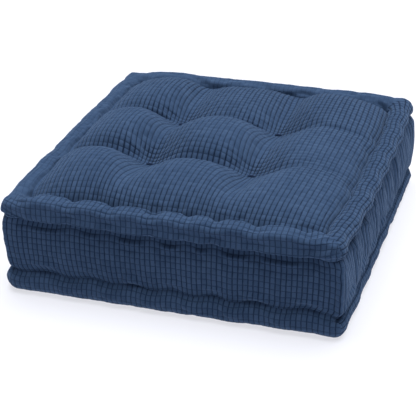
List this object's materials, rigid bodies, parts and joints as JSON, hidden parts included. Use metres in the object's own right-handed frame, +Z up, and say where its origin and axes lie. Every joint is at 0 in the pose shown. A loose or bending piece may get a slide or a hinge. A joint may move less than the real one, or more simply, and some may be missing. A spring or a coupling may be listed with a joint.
{
  "type": "floor cushion",
  "caption": "Square tufted floor cushion with puffed faces, gathered sides and a stuffed roll along every edge, in dark blue woven fabric.",
  "frame": {"origin": "on the floor, under the middle of the cushion", "axes": "+Z up out of the top face, -Y towards the side that faces the viewer, +X to the viewer's right"},
  "size_m": [0.508, 0.508, 0.178],
  "materials": {
    "cover_fabric": "matte waffle weave",
    "wadding": "matte fibre",
    "filling": "matte fibre",
    "twine": "matte thread"
  },
  "bodies": {
    "root": {"top_panel": "cover_fabric", "bottom_panel": "cover_fabric", "boxing_front": "cover_fabric", "boxing_right": "cover_fabric", "boxing_back": "cover_fabric", "boxing_left": "cover_fabric", "top_roll_front": "cover_fabric", "top_roll_wadding_front": "wadding", "top_roll_stitching_front": "twine", "top_roll_right": "cover_fabric", "top_roll_wadding_right": "wadding", "top_roll_stitching_right": "twine", "top_roll_back": "cover_fabric", "top_roll_wadding_back": "wadding", "top_roll_stitching_back": "twine", "top_roll_left": "cover_fabric", "top_roll_wadding_left": "wadding", "top_roll_stitching_left": "twine", "bottom_roll_front": "cover_fabric", "bottom_roll_wadding_front": "wadding", "bottom_roll_stitching_front": "twine", "bottom_roll_right": "cover_fabric", "bottom_roll_wadding_right": "wadding", "bottom_roll_stitching_right": "twine", "bottom_roll_back": "cover_fabric", "bottom_roll_wadding_back": "wadding", "bottom_roll_stitching_back": "twine", "bottom_roll_left": "cover_fabric", "bottom_roll_wadding_left": "wadding", "bottom_roll_stitching_left": "twine", "fibre_filling": "filling", "tuft_front_left": "twine", "tuft_front_right": "twine", "tuft_back_left": "twine", "tuft_back_right": "twine"}
  },
  "joints": []
}
